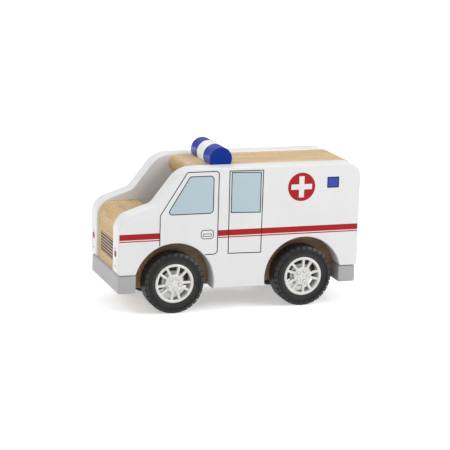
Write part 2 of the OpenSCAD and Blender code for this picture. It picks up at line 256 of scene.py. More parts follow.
def select(kind, test):
    """Selects the open mesh's faces, edges or points whose middle and direction pass a test."""
    bpy.ops.mesh.select_mode(type=kind)
    bpy.ops.mesh.select_all(action="DESELECT")
    data = bpy.context.object.data
    mesh = bmesh.from_edit_mesh(data)
    if kind == "VERT":
        found = [v for v in mesh.verts if test(v.co / MM, v.normal)]
    elif kind == "EDGE":
        ends = [(e, e.verts[0].co / MM, e.verts[1].co / MM) for e in mesh.edges]
        found = [e for e, a, b in ends if test((a + b) / 2, (b - a).normalized())]
    else:
        found = [f for f in mesh.faces if test(f.calc_center_median() / MM, f.normal)]
    for item in found:
        item.select_set(True)
    mesh.select_flush_mode()
    bmesh.update_edit_mesh(data)


def near(a, b):
    return abs(a - b) < 0.01


def slice_mesh(place, direction, clear=False):
    """Cuts the whole open mesh by a plane, and clears what lies ahead of it if asked."""
    bpy.ops.mesh.select_all(action="SELECT")
    bpy.ops.mesh.bisect(
        plane_co=Vector(place) * MM, plane_no=direction, use_fill=clear, clear_outer=clear, threshold=1e-7)


def extrude(way):
    bpy.ops.mesh.extrude_region_move(TRANSFORM_OT_translate={"value": Vector(way) * MM})


def move(way):
    bpy.ops.transform.translate(value=Vector(way) * MM)


def round_edges(radius, steps, inside_angle=90):
    """Rounds the selected edges, at which two faces meet at an inside angle."""
    offset = radius / math.tan(math.radians(inside_angle) / 2)
    bpy.ops.mesh.bevel(offset=offset * MM, segments=steps, profile=0.5, affect="EDGES", clamp_overlap=False)


def finish_with(piece, kind, **settings):
    """Adds a modifier to a piece and applies it."""
    pick_piece(piece)
    modifier = piece.modifiers.new(kind.lower(), kind)
    for key, value in settings.items():
        setattr(modifier, key, value)
    bpy.ops.object.modifier_apply(modifier=modifier.name)


def cut_away(piece, cutter):
    """Cuts one piece out of another and removes the cutter."""
    finish_with(piece, "BOOLEAN", operation="DIFFERENCE", object=cutter, solver="EXACT")
    bpy.data.objects.remove(cutter)


def soften(piece, radius, steps):
    """Rounds every sharp edge, and shades the faces smoothly."""
    finish_with(
        piece, "BEVEL", width=radius * MM, segments=steps, limit_method="ANGLE",
        angle_limit=math.radians(sharp_angle), use_clamp_overlap=False)
    smooth(piece)


def smooth(piece, flat_faces=True):
    """Shades the faces smoothly between sharp edges, and keeps large flat faces flat if asked."""
    pick_piece(piece)
    bpy.ops.object.shade_smooth_by_angle(angle=math.radians(sharp_angle))
    if flat_faces:
        finish_with(piece, "WEIGHTED_NORMAL", keep_sharp=True)


def turn_outside(piece):
    """Merges doubled points and points all faces outwards."""
    open_mesh(piece)
    bpy.ops.mesh.remove_doubles(threshold=1e-7)
    bpy.ops.mesh.normals_make_consistent(inside=False)
    close_mesh()


def join(name, pieces):
    """Joins pieces into one."""
    pick_piece(pieces[0])
    for piece in pieces:
        piece.select_set(True)
    bpy.ops.object.join()
    pieces[0].name = name
    pieces[0].data.name = name
    return pieces[0]


def copy_piece(piece, name, matrix):
    """A copy with a mesh of its own, which a matrix has moved."""
    made = piece.copy()
    made.data = piece.data.copy()
    made.name = name
    made.data.name = name
    bpy.context.scene.collection.objects.link(made)
    made.data.transform(matrix)
    if matrix.determinant() < 0:
        made.data.flip_normals()
    return made


def settle(piece, body, material, slot, *replaced):
    """Gives a piece its material, and lets it ride on a body in place of its solids. Its slot is not used."""
    piece.data.materials.clear()
    for each in material if isinstance(material, list) else [material]:
        piece.data.materials.append(each)
    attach(piece, body)
    if replaced:
        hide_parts(*replaced)


# Materials
def colour(text):
    """An sRGB hex colour as linear red, green, blue and alpha."""
    parts = [int(text[i:i + 2], 16) / 255 for i in (0, 2, 4)]
    return [c / 12.92 if c <= 0.04045 else ((c + 0.055) / 1.055) ** 2.4 for c in parts] + [1]


def node(tree, kind, settings, inputs):
    """Adds a node with its settings, and feeds its inputs with values or with other nodes' outputs.

    Inputs go by name, or by number where a node has more inputs of the same name.
    """
    made = tree.nodes.new(kind)
    for key, value in settings.items():
        setattr(made, key, value)
    for key, value in inputs.items():
        if isinstance(value, bpy.types.NodeSocket):
            tree.links.new(value, made.inputs[key])
        else:
            made.inputs[key].default_value = value
    return made


def start_material(name):
    """A new material, its tree, its shader and the place on the piece in millimetres."""
    made = bpy.data.materials.new(name)
    made.use_nodes = True
    tree = made.node_tree
    shader = tree.nodes["Principled BSDF"]
    place = node(tree, "ShaderNodeTexCoord", {}, {})
    scaled = node(tree, "ShaderNodeMapping", {}, {"Vector": place.outputs["Object"], "Scale": (1 / MM,) * 3})
    return made, tree, shader, scaled.outputs["Vector"]


def tint(tree, factor, stops):
    """A colour ramp over a factor, from places and hex colours."""
    ramp = node(tree, "ShaderNodeValToRGB", {}, {"Fac": factor})
    while len(ramp.color_ramp.elements) < len(stops):
        ramp.color_ramp.elements.new(0.5)
    for element, (place, text) in zip(ramp.color_ramp.elements, stops):
        element.position = place
        element.color = colour(text)
    return ramp.outputs["Color"]


# Figure of beech, each with its length along the grain and its width across it
beech_clouds = (60, 7)
beech_fibres = (14, 0.9)
beech_rays = (2.2, 0.55)
beech_pores = (60, 0.8)
fibre_share = 0.45
fibre_depth = 0.05


def beech(name, grain, pale, middle, dark, fleck):
    """Steamed beech, sanded: even tan wood with fine streaks, short dark ray flecks and darker end grain.

    The grain runs along one axis. Streaks, flecks and pores are drawn coarser than in life, to show.
    """
    made, tree, shader, place = start_material(name)

    def along(length, width):
        scale = [1 / length if axis == grain else 1 / width for axis in "XYZ"]
        return node(tree, "ShaderNodeMapping", {}, {"Vector": place, "Scale": scale}).outputs["Vector"]

    cloud = node(
        tree, "ShaderNodeTexNoise", {}, {"Vector": along(*beech_clouds), "Scale": 1.0, "Detail": 3.0})
    fibre = node(
        tree, "ShaderNodeTexNoise", {}, {"Vector": along(*beech_fibres), "Scale": 1.0, "Detail": 4.0})
    rays = node(
        tree, "ShaderNodeTexNoise", {}, {"Vector": along(*beech_rays), "Scale": 1.0, "Detail": 1.0})
    tone = node(
        tree, "ShaderNodeMix", {"data_type": "FLOAT"},
        {0: fibre_share, 2: cloud.outputs["Fac"], 3: fibre.outputs["Fac"]})
    wood = tint(tree, tone.outputs[0], [(0.34, dark), (0.5, middle), (0.66, pale)])
    flecked = node(
        tree, "ShaderNodeMapRange", {},
        {"Value": rays.outputs["Fac"], "From Min": 0.58, "From Max": 0.7, "To Min": 0.0, "To Max": 0.65})
    shown = node(
        tree, "ShaderNodeMix", {"data_type": "RGBA"}, {0: flecked.outputs[0], 6: wood, 7: colour(fleck)})
    # faces across the grain show end grain, which is darker and full of pores
    facing = node(tree, "ShaderNodeTexCoord", {}, {}).outputs["Normal"]
    parts = node(tree, "ShaderNodeSeparateXYZ", {}, {0: facing})
    across = node(
        tree, "ShaderNodeMath", {"operation": "MULTIPLY"}, {0: parts.outputs[grain], 1: parts.outputs[grain]})
    pores = node(
        tree, "ShaderNodeTexNoise", {}, {"Vector": along(*beech_pores), "Scale": 1.0, "Detail": 4.0})
    ends = tint(tree, pores.outputs["Fac"], [(0.3, fleck), (0.8, dark)])
    whole = node(
        tree, "ShaderNodeMix", {"data_type": "RGBA"}, {0: across.outputs[0], 6: shown.outputs[2], 7: ends})
    tree.links.new(whole.outputs[2], shader.inputs["Base Color"])
    gloss = node(
        tree, "ShaderNodeMapRange", {},
        {"Value": fibre.outputs["Fac"], "From Min": 0.3, "From Max": 0.7, "To Min": 0.42, "To Max": 0.58})
    tree.links.new(gloss.outputs[0], shader.inputs["Roughness"])
    bump = node(
        tree, "ShaderNodeBump", {},
        {"Height": fibre.outputs["Fac"], "Strength": 0.12, "Distance": fibre_depth * MM})
    tree.links.new(bump.outputs["Normal"], shader.inputs["Normal"])
    shader.inputs["IOR"].default_value = 1.5
    return made


# Size of the faint cloud in a sprayed coat, and the depth of its orange peel
paint_cloud_size = 25
peel_depth = 0.02


def paint(name, text, low_text, roughness, peel_size, peel_strength, specular):
    """Sprayed paint on sanded wood: an even colour with a faint cloud and a fine orange peel."""
    made, tree, shader, place = start_material(name)
    cloud = node(
        tree, "ShaderNodeTexNoise", {}, {"Vector": place, "Scale": 1 / paint_cloud_size, "Detail": 2.0})
    peel = node(tree, "ShaderNodeTexNoise", {}, {"Vector": place, "Scale": 1 / peel_size, "Detail": 2.0})
    shown = tint(tree, cloud.outputs["Fac"], [(0.35, low_text), (0.6, text)])
    tree.links.new(shown, shader.inputs["Base Color"])
    gloss = node(
        tree, "ShaderNodeMapRange", {},
        {"Value": cloud.outputs["Fac"], "From Min": 0.3, "From Max": 0.7,
         "To Min": roughness - 0.03, "To Max": roughness + 0.03})
    tree.links.new(gloss.outputs[0], shader.inputs["Roughness"])
    bump = node(
        tree, "ShaderNodeBump", {},
        {"Height": peel.outputs["Fac"], "Strength": peel_strength, "Distance": peel_depth * MM})
    tree.links.new(bump.outputs["Normal"], shader.inputs["Normal"])
    shader.inputs["IOR"].default_value = 1.5
    shader.inputs["Specular IOR Level"].default_value = specular
    return made


# Size of the faint cloud in a moulding, and the depth of its mould's grain
mould_cloud_size = 6
mould_grain_depth = 0.05


def moulded(name, text, low_text, roughness, grain_size, grain_strength, specular):
    """Moulded plastic or rubber: a nearly even colour, with the fine grain of its mould.

    The grain is drawn coarser than in life, to show.
    """
    made, tree, shader, place = start_material(name)
    cloud = node(
        tree, "ShaderNodeTexNoise", {}, {"Vector": place, "Scale": 1 / mould_cloud_size, "Detail": 3.0})
    grain = node(tree, "ShaderNodeTexNoise", {}, {"Vector": place, "Scale": 1 / grain_size, "Detail": 2.0})
    shown = tint(tree, cloud.outputs["Fac"], [(0.35, low_text), (0.62, text)])
    tree.links.new(shown, shader.inputs["Base Color"])
    gloss = node(
        tree, "ShaderNodeMapRange", {},
        {"Value": grain.outputs["Fac"], "From Min": 0.3, "From Max": 0.7,
         "To Min": roughness - 0.06, "To Max": roughness + 0.06})
    tree.links.new(gloss.outputs[0], shader.inputs["Roughness"])
    bump = node(
        tree, "ShaderNodeBump", {},
        {"Height": grain.outputs["Fac"], "Strength": grain_strength, "Distance": mould_grain_depth * MM})
    tree.links.new(bump.outputs["Normal"], shader.inputs["Normal"])
    shader.inputs["IOR"].default_value = 1.52
    shader.inputs["Specular IOR Level"].default_value = specular
    return made


# Lines of a drawn rod
draw_line_width = 0.15
draw_line_length = 8


def drawn_steel(name):
    """Drawn steel rod: bright grey metal with fine lines along the rod."""
    made, tree, shader, place = start_material(name)
    line_scale = (1 / draw_line_width, 1 / draw_line_length, 1 / draw_line_width)
    lines = node(tree, "ShaderNodeMapping", {}, {"Vector": place, "Scale": line_scale})
    drawn = node(
        tree, "ShaderNodeTexNoise", {}, {"Vector": lines.outputs["Vector"], "Scale": 1.0, "Detail": 2.0})
    shown = tint(tree, drawn.outputs["Fac"], [(0.3, "A9ABAE"), (0.7, "CDCFD2")])
    tree.links.new(shown, shader.inputs["Base Color"])
    gloss = node(
        tree, "ShaderNodeMapRange", {},
        {"Value": drawn.outputs["Fac"], "From Min": 0.3, "From Max": 0.7, "To Min": 0.25, "To Max": 0.4})
    tree.links.new(gloss.outputs[0], shader.inputs["Roughness"])
    shader.inputs["Metallic"].default_value = 1.0
    return made


# Clear lacquered beech of the roof, warm and pale, with its grain along the toy
beech_along = beech("lacquered_beech_along", "X", "E6CDA4", "DABF93", "CAAC7C", "9A784D")
# Clear lacquered beech of the nose and the rear wall, a little deeper, with its grain across the toy
beech_across = beech("lacquered_beech_across", "Y", "DFC293", "D3B483", "C3A16E", "936F44")
# Beech of the chassis block, with its grain along the toy, drawn darker than the other beech as painted shade
# for the dark behind the wheels
chassis_beech_painted_shade = beech("oiled_beech_along", "X", "A68F72", "987D5D", "866C4C", "684F33")
# Turned beech of the dowels, unfinished, pale and even
dowel_beech = beech("turned_beech_dowel", "Y", "E2CDA8", "D8C09A", "C8AE84", "B0936A")
# Sprayed satin paint of the panels and the bumpers, even, with a soft and broad sheen
white_paint = paint("sprayed_white_satin_paint", "F1F1F1", "EEEEEE", 0.38, 0.9, 0.10, 0.4)
grey_paint = paint("sprayed_grey_satin_paint", "B7B6B8", "B3B2B4", 0.42, 0.9, 0.12, 0.3)
# Sprayed gloss paint of the light bar, with clear highlights. Its ends are drawn deeper and duller than its
# round side: partly end grain that soaks up more paint, partly painted shade
blue_paint = paint("sprayed_blue_gloss_paint", "3349AA", "2F44A2", 0.25, 1.1, 0.04, 0.3)
end_blue_paint_and_shade = paint("sprayed_blue_paint_on_end_grain_and_painted_shade", "053092", "042C8A", 0.4, 1.1, 0.04, 0.15)
white_gloss_paint = paint("sprayed_white_gloss_paint", "F4F4F3", "F1F1F0", 0.25, 1.1, 0.06, 0.25)
# Pad printed inks, thin and a little duller than the paint under them
red_ink = paint("printed_red_ink", "B32224", "AE2022", 0.5, 0.5, 0.10, 0.2)
glass_blue_ink = paint("printed_pale_blue_ink", "C0D4DB", "BDD1D8", 0.5, 0.5, 0.10, 0.2)
blue_ink = paint("printed_blue_ink", "3E54B3", "3A50AD", 0.5, 0.5, 0.10, 0.2)
line_ink = paint("printed_dark_ink", "2A2827", "242221", 0.5, 0.5, 0.10, 0.2)
white_ink = paint("printed_white_ink", "F1F1F1", "EEEEEE", 0.5, 0.5, 0.10, 0.3)
grille_ink = paint("printed_slate_ink", "2A2C36", "25272F", 0.5, 0.5, 0.10, 0.2)
# Moulded ABS of the rims: pale, a little warm, and satin from its mould
rim_plastic = moulded("moulded_pale_abs", "EEEEEB", "E9E9E5", 0.35, 0.4, 0.05, 0.4)
# Moulded rubber of the tyres: nearly black, matt and a little dusty
tyre_rubber = moulded("moulded_black_rubber", "232324", "1B1B1C", 0.48, 0.5, 0.3, 0.45)
# Drawn steel of the axles, bright, with fine lines along them
axle_steel = drawn_steel("drawn_steel_rod")


# Side panels
def model_side_panel(name, side):
    """A board with the outline of the vehicle's side, two wheel arches and rounded edges."""
    inner_y = side * panel_low.y
    outer_y = side * panel_face_y
    panel = start_block(name, (panel_low.x, inner_y, notch_z), (cowl_x, outer_y, panel_high.z))
    open_mesh(panel)
    slice_mesh((0, 0, cowl_height), (0, 0, 1))
    select("FACE", lambda middle, normal: normal.x > 0.9 and middle.z < cowl_height)
    extrude((panel_front_x - cowl_x, 0, 0))
    select("VERT", lambda place, normal: near(place.x, panel_front_x) and near(place.z, cowl_height))
    move((0, 0, bonnet_height - cowl_height))
    select("VERT", lambda place, normal: near(place.x, cowl_x) and near(place.z, panel_high.z))
    move((brow_x - cowl_x, 0, 0))
    slice_mesh((front_arch_x, 0, 0), (1, 0, 0))
    slice_mesh((rear_arch_x, 0, 0), (1, 0, 0))
    select("FACE", lambda middle, normal: normal.z < -0.9 and middle.x < rear_arch_x)
    extrude((0, 0, rear_notch_z - notch_z))
    select("FACE", lambda middle, normal: normal.z < -0.9 and rear_arch_x < middle.x < front_arch_x)
    extrude((0, 0, panel_low.z - notch_z))
    bpy.ops.mesh.select_all(action="SELECT")
    bpy.ops.mesh.dissolve_limited(angle_limit=math.radians(0.5))
    # corners of the outline: place along, height, radius and inside angle
    bonnet_slope = math.degrees(math.atan2(cowl_height - bonnet_height, panel_front_x - cowl_x))
    screen_slope = math.degrees(math.atan2(panel_high.z - cowl_height, cowl_x - brow_x))
    corners = [
        (panel_front_x, bonnet_height, bonnet_radius, 90 + bonnet_slope),
        (cowl_x, cowl_height, cowl_radius, 180 - screen_slope + bonnet_slope),
        (brow_x, panel_high.z, brow_radius, 180 - screen_slope),
        (panel_low.x, panel_high.z, rear_top_radius, 90),
        (panel_front_x, notch_z, lower_corner_radius, 90),
        (panel_low.x, rear_notch_z, lower_corner_radius, 90),
    ]
    for x, z, radius, inside_angle in corners:
        select("EDGE", lambda middle, way: near(middle.x, x) and near(middle.z, z) and abs(way.y) > 0.9)
        round_edges(radius, 12 if radius > lower_corner_radius else 5, inside_angle)
    close_mesh()
    for arch_x in (front_arch_x, rear_arch_x):
        cut_away(panel, start_rod(
            "arch_cutter", arch_x, front_axle.z, inner_y - side * cutter_reach, outer_y + side * cutter_reach,
            arch_radius, arch_sides))
    soften(panel, panel_edge_radius, 4)
    return panel


for side_name, side in (("left", 1), ("right", -1)):
    panel = model_side_panel(f"{side_name}_panel", side)
    settle(panel, "body", white_paint, "white_paint", f"{side_name}_side_panel")

# Nose block, with its step over the front bumper and its rounded top edge
nose = start_block("nose", nose_low, (front_bumper_low.x, nose_high.y, nose_high.z))
open_mesh(nose)
slice_mesh((0, 0, front_bumper_high.z), (0, 0, 1))
select("FACE", lambda middle, normal: normal.x > 0.9 and middle.z > front_bumper_high.z)
extrude((nose_high.x - front_bumper_low.x, 0, 0))
select("EDGE", lambda middle, way: near(middle.x, nose_high.x) and near(middle.z, nose_high.z))
round_edges(nose_top_radius, 14)
close_mesh()
soften(nose, wood_edge_radius, 2)
settle(nose, "body", beech_across, "beech_cross_grain", "nose_block")

# Roof slab, with a full round front edge
roof = start_block("roof", roof_low, roof_high)
open_mesh(roof)
select("EDGE", lambda middle, way: near(middle.x, roof_high.x) and abs(way.y) > 0.9)
round_edges(roof_front_radius, 12)
select("EDGE", lambda middle, way: near(middle.x, roof_low.x) and near(middle.z, roof_high.z))
round_edges(roof_rear_radius, 5)
close_mesh()
soften(roof, wood_edge_radius, 2)
settle(roof, "body", beech_along, "beech_long_grain", "roof_slab")

# Chassis block, with a bore for each axle
chassis = start_block("chassis", chassis_low, chassis_high)
for axle in (front_axle, rear_axle):
    cut_away(chassis, start_rod(
        "bore_cutter", axle.x, axle.z, chassis_low.y - cutter_reach, chassis_high.y + cutter_reach,
        bore_radius, 48))
soften(chassis, wood_edge_radius, 2)
# the chassis block's darker beech is painted shade
settle(chassis, "body", chassis_beech_painted_shade, "beech_long_grain", "chassis_block")

# Rear wall
wall = start_block("back_board", wall_low, wall_high)
soften(wall, wood_edge_radius, 2)
settle(wall, "body", beech_across, "beech_cross_grain", "rear_wall")

# Bumper bars
for bar_name, low, high, solid in (
    ("front_bar", front_bumper_low, front_bumper_high, "front_bumper"),
    ("rear_bar", rear_bumper_low, rear_bumper_high, "rear_bumper"),
):
    bar = start_block(bar_name, low, high)
    soften(bar, bumper_edge_radius, 4)
    settle(bar, "body", grey_paint, "grey_paint", solid)

# Light bar: a round bar with a flat, painted in three equal bands
light_middle_x = (light_low.x + light_high.x) / 2
light = start_rod(
    "roof_light", light_middle_x, light_high.z - light_diameter / 2, light_low.y, light_high.y,
    light_diameter / 2, 96)
open_mesh(light)
slice_mesh((0, 0, light_low.z), (0, 0, -1), clear=True)
close_mesh()
soften(light, light_edge_radius, 3)
band_y = (light_high.y - light_low.y) / 6
open_mesh(light)
slice_mesh((0, -band_y, 0), (0, 1, 0))
slice_mesh((0, band_y, 0), (0, 1, 0))
close_mesh()
settle(light, "body", [blue_paint, white_gloss_paint, end_blue_paint_and_shade], "blue_paint", "light_bar")
# the middle band takes the white, and the flat ends the deeper blue, which is partly painted shade
for face in light.data.polygons:
    if abs(face.center.y / MM) < band_y:
        face.material_index = 1
    elif abs(face.normal.y) > 0.9:
        face.material_index = 2


# Wheels
def model_tyre():
    """A tyre with shoulder blocks, two tread grooves, and a ring groove and a rib on each sidewall."""
    sides = tread_blocks * columns_per_block
    middle_y = tyre_width / 2
    tyre = start_rod("tyre", 0, 0, shoulder_slope, tyre_width - shoulder_slope, tyre_radius, sides)
    open_mesh(tyre)

    def in_middle(middle, normal):
        return abs(normal.y) > 0.99 and math.hypot(middle.x, middle.z) < 1

    # rings from the tread in to the bead, each with its width and its rise
    shoulder = [
        (shoulder_bend, shoulder_bend_rise),
        (shoulder_height - shoulder_bend, shoulder_slope - shoulder_bend_rise)]
    ring_groove = [(0.2, 0.0), (0.12, -ring_groove_depth), (0.45, 0.0), (0.12, ring_groove_depth), (0.3, 0.0)]
    sidewall = [(0.2, -sidewall_drop), (0.6, 0.0)]
    rib = [(0.15, rib_rise), (0.3, 0.0), (0.15, -rib_rise), (1.25, -bead_drop)]
    rings = shoulder + ring_groove + sidewall + rib
    for width, rise in rings:
        select("FACE", in_middle)
        bpy.ops.mesh.inset(thickness=width * MM, depth=rise * MM)
    select("FACE", in_middle)
    bead_radius = tyre_radius - sum(width for width, rise in rings)
    bpy.ops.mesh.inset(thickness=(bead_radius - rim_radius) * MM, depth=-bead_drop * MM)
    bpy.ops.mesh.delete(type="FACE")
    select("EDGE", lambda middle, way: math.hypot(middle.x, middle.z) < rim_radius + pick_room)
    bpy.ops.mesh.bridge_edge_loops()
    # bands of the tread: two grooves, and the ends of the cuts between the shoulder blocks
    for offset in (groove_from, groove_to, block_from):
        for way in (-1, 1):
            slice_mesh((0, middle_y + way * offset, 0), (0, 1, 0))

    def in_groove(middle, normal):
        on_tread = math.hypot(middle.x, middle.z) > tyre_radius - tread_band
        return on_tread and groove_from < abs(middle.y - middle_y) < groove_to

    select("FACE", in_groove)
    bpy.ops.mesh.inset(thickness=groove_wall * MM, depth=-tread_depth * MM)

    def in_cut(middle, normal):
        column = math.degrees(math.atan2(middle.z, middle.x)) % (360 / tread_blocks)
        on_tread = math.hypot(middle.x, middle.z) > tyre_radius - shoulder_height + shoulder_foot
        return on_tread and column < 360 / sides and abs(middle.y - middle_y) > block_from

    select("FACE", in_cut)
    bpy.ops.mesh.inset(thickness=block_wall * MM, depth=-tread_depth * MM)
    close_mesh()
    turn_outside(tyre)
    smooth(tyre, flat_faces=False)
    return tyre


def turned(angle):
    return Matrix.Rotation(math.radians(angle), 4, "Y")


def model_ring(name, from_y, to_y, thickness):
    """A ring of the rim, as wide as its seat in the tyre."""
    ring = start_rod(name, 0, 0, from_y, to_y, rim_radius, 96)
    open_mesh(ring)
    select("FACE", lambda middle, normal: abs(normal.y) > 0.99)
    bpy.ops.mesh.inset(thickness=thickness * MM, depth=0)
    bpy.ops.mesh.delete(type="FACE")
    select("EDGE", lambda middle, way: math.hypot(middle.x, middle.z) < rim_radius - thickness + pick_room)
    bpy.ops.mesh.bridge_edge_loops()
    close_mesh()
    turn_outside(ring)
    return ring


def model_rim():
    """A rim: barrel, lip, spokes in pairs, hub pad with recessed nuts, and behind them a drum with studs."""
    barrel = model_ring("barrel", barrel_inset, lip_face_y - lip_depth / 2, barrel_thickness)
    soften(barrel, barrel_edge_radius, 2)
    lip = model_ring("lip", lip_face_y - lip_depth, lip_face_y, lip_thickness)
    soften(lip, lip_edge_radius, 4)
    parts = [barrel, lip]
    spoke_back_y = spoke_face_y - spoke_thickness
    spoke = start_block(
        "spoke", (nut_circle_radius, spoke_back_y, -spoke_width / 2),
        (rim_radius - lip_thickness / 2, spoke_face_y, spoke_width / 2))
    soften(spoke, spoke_edge_radius, 3)
    nut = start_rod(
        "nut", nut_circle_radius, 0, spoke_back_y + nut_root, spoke_face_y + hub_pad_rise + nut_rise,
        nut_radius, 32)
    soften(nut, nut_edge_radius, 4)
    stud = start_rod(
        "stud", stud_circle_radius, 0, drum_face_y - stud_root, drum_face_y + stud_rise, stud_radius, 24)
    soften(stud, stud_edge_radius, 2)
    pair_step = 360 / spoke_pairs
    for pair in range(spoke_pairs):
        angle = pair * pair_step
        for half in (-1, 1):
            parts.append(copy_piece(spoke, "spoke_copy", turned(angle + half * spoke_pair_angle / 2)))
            parts.append(copy_piece(stud, "stud_copy", turned(angle + (1 + half) * pair_step / 4)))
        parts.append(copy_piece(nut, "nut_copy", turned(angle)))
    for used in (spoke, nut, stud):
        bpy.data.objects.remove(used)
    pad = start_rod("pad", 0, 0, spoke_back_y - hub_pad_rise, spoke_face_y + hub_pad_rise, hub_pad_radius, 64)
    finish_with(
        pad, "BEVEL", width=hub_pad_edge_radius * MM, segments=3, limit_method="ANGLE",
        angle_limit=math.radians(sharp_angle))
    for pair in range(spoke_pairs):
        angle = math.radians(pair * pair_step)
        cut_away(pad, start_rod(
            "recess_cutter", nut_circle_radius * math.cos(angle), -nut_circle_radius * math.sin(angle),
            spoke_face_y - nut_recess, spoke_face_y + cutter_reach, nut_recess_radius, 32))
    # the pad's large faces are shaded flat, so that the recesses leave no streaks on them
    smooth(pad, flat_faces=False)
    open_mesh(pad)
    select("FACE", lambda middle, normal: abs(normal.y) > 0.999)
    bpy.ops.mesh.faces_shade_flat()
    close_mesh()
    drum = start_rod("drum", 0, 0, drum_face_y - drum_thickness, drum_face_y, drum_radius, 64)
    soften(drum, drum_edge_radius, 3)
    boss = start_rod("boss", 0, 0, boss_end_y, spoke_back_y + boss_overlap, boss_radius, 48)
    soften(boss, boss_edge_radius, 2)
    return join("rim", parts + [pad, drum, boss])


tyre = model_tyre()
rim = model_rim()
for place_name, axle, turn, body in (
    ("front", front_axle, front_wheel_turn, "front_wheelset"),
    ("rear", rear_axle, rear_wheel_turn, "rear_wheelset"),
):
    for side_name, side in (("left", 1), ("right", -1)):
        seat = Matrix.Translation(Vector((axle.x, side * wheel_inner_y, axle.z)) * MM)
        mirror = Matrix.Diagonal((1, side, 1, 1))
        spot = f"{place_name}_{side_name}"
        for source, kind, material, slot in (
            (tyre, "tyre", tyre_rubber, "tyre_rubber"), (rim, "rim", rim_plastic, "rim_plastic")
        ):
            rolled = Matrix.Identity(4) if kind == "tyre" else turned(turn)
            made = copy_piece(source, f"{spot}_wheel_{kind}", seat @ mirror @ rolled)
            settle(made, body, material, slot, f"{spot}_{kind}")
bpy.data.objects.remove(tyre)
bpy.data.objects.remove(rim)

# Axles and dowels keep their solids
axles = ["front_axle", "rear_axle"]
dowels = [
    "left_panel_dowels", "right_panel_dowels", "nose_dowels", "rear_wall_dowels",
    "front_bumper_dowels", "rear_bumper_dowels", "light_bar_dowels"]
for solid in axles + dowels:
    kept = frame["nodes"][solid]
    kept.data.materials.clear()
    kept.data.materials.append(axle_steel if solid in axles else dowel_beech)

# Printed markings. A face is its outward way and its distance from the origin along that way
LEFT = (Vector((0, 1, 0)), panel_face_y)
RIGHT = (Vector((0, -1, 0)), panel_face_y)
NOSE = (Vector((1, 0, 0)), nose_high.x)
PANEL_ENDS = (Vector((1, 0, 0)), panel_front_x)


def on_face(face, u, v):
    """A point of a face, from its place along or across the toy and its height."""
    way, distance = face
    return way * distance + (Vector((u, 0, v)) if abs(way.y) > 0.5 else Vector((0, u, v)))


def laid_on(face):
    """The turn that lays a flat piece on a face."""
    up = Vector((0, 0, 1))
    way = face[0]
    return Matrix((up.cross(way), up, way)).transposed().to_euler()


def print_shape(face, corners, depth, line=None):
    """Ink on a face: a shape without hollows, from its corners, each rounded by its radius.

    With a line width only the shape's outline is printed.
    """
    way = face[0]
    us = [corner[0] for corner in corners]
    vs = [corner[1] for corner in corners]
    middle = on_face(face, (min(us) + max(us)) / 2, (min(vs) + max(vs)) / 2)
    size = ((max(us) - min(us)) * MM, (max(vs) - min(vs)) * MM, 1)
    shape = start_piece(
        bpy.ops.mesh.primitive_plane_add, "ink", size, size=1, location=middle * MM, rotation=laid_on(face))
    centre = on_face(face, sum(us) / len(us), sum(vs) / len(vs))
    places = [on_face(face, u, v) for u, v, radius in corners]
    open_mesh(shape)
    for start, end in zip(places, places[1:] + places[:1]):
        outward = (end - start).cross(way).normalized()
        if outward.dot(start - centre) < 0:
            outward = -outward
        slice_mesh(start, outward, clear=True)
    for i, (u, v, radius) in enumerate(corners):
        if radius:
            spot = places[i]
            inside = (places[i - 1] - spot).angle(places[(i + 1) % len(places)] - spot)
            select("VERT", lambda place, normal: (place - spot).length < pick_room)
            bpy.ops.mesh.bevel(
                offset=radius / math.tan(inside / 2) * MM, segments=6, affect="VERTICES", clamp_overlap=False)
    if line:
        bpy.ops.mesh.select_all(action="SELECT")
        bpy.ops.mesh.inset(thickness=line * MM, depth=0)
        bpy.ops.mesh.delete(type="FACE")
    close_mesh()
    finish_with(shape, "SOLIDIFY", thickness=depth * MM, offset=1)
    return shape


def print_bar(face, from_u, to_u, from_v, to_v, depth, line=None):
    """A printed bar with square corners, or its outline."""
    corners = [(from_u, from_v, 0), (to_u, from_v, 0), (to_u, to_v, 0), (from_u, to_v, 0)]
    return print_shape(face, corners, depth, line)


def print_disc(face, u, v, radius, depth):
    """A printed disc."""
    disc = start_piece(
        bpy.ops.mesh.primitive_circle_add, "ink", (1, 1, 1), vertices=64, radius=radius * MM,
        fill_type="NGON", location=on_face(face, u, v) * MM, rotation=laid_on(face))
    finish_with(disc, "SOLIDIFY", thickness=depth * MM, offset=1)
    return disc


# Stripes on a panel, broken by the cab door, and the disc with its cross
stripe_heights = [(45.4, 48.9), (44.22, 44.86)]
stripe_front_x = 73.85
stripe_rear_x = -73.6
door_front_x = 49.9
door_rear_x = 14.17
disc_x = -37.0
disc_z = 72.6
disc_radius = 8.54
cross_arm_width = 3.2
cross_length = 13.0
cross_height = 12.7
# the arm along the toy is a hair thinner than the upright one, so that their faces don't coincide
cross_arm_step = 0.002

# Doors and windows on a panel. A corner is its place along the toy, its height and its radius
cab_door = [
    (door_front_x, 34.4, 0), (door_front_x, 59.05, 1.5), (33.8, 84.15, 2.0), (door_rear_x, 84.15, 2.2),
    (door_rear_x, 34.4, 2.6)]
cab_window = [(46.0, 59.0, 2.2), (32.15, 81.5, 1.6), (17.25, 81.5, 2.4), (17.25, 59.0, 2.4)]
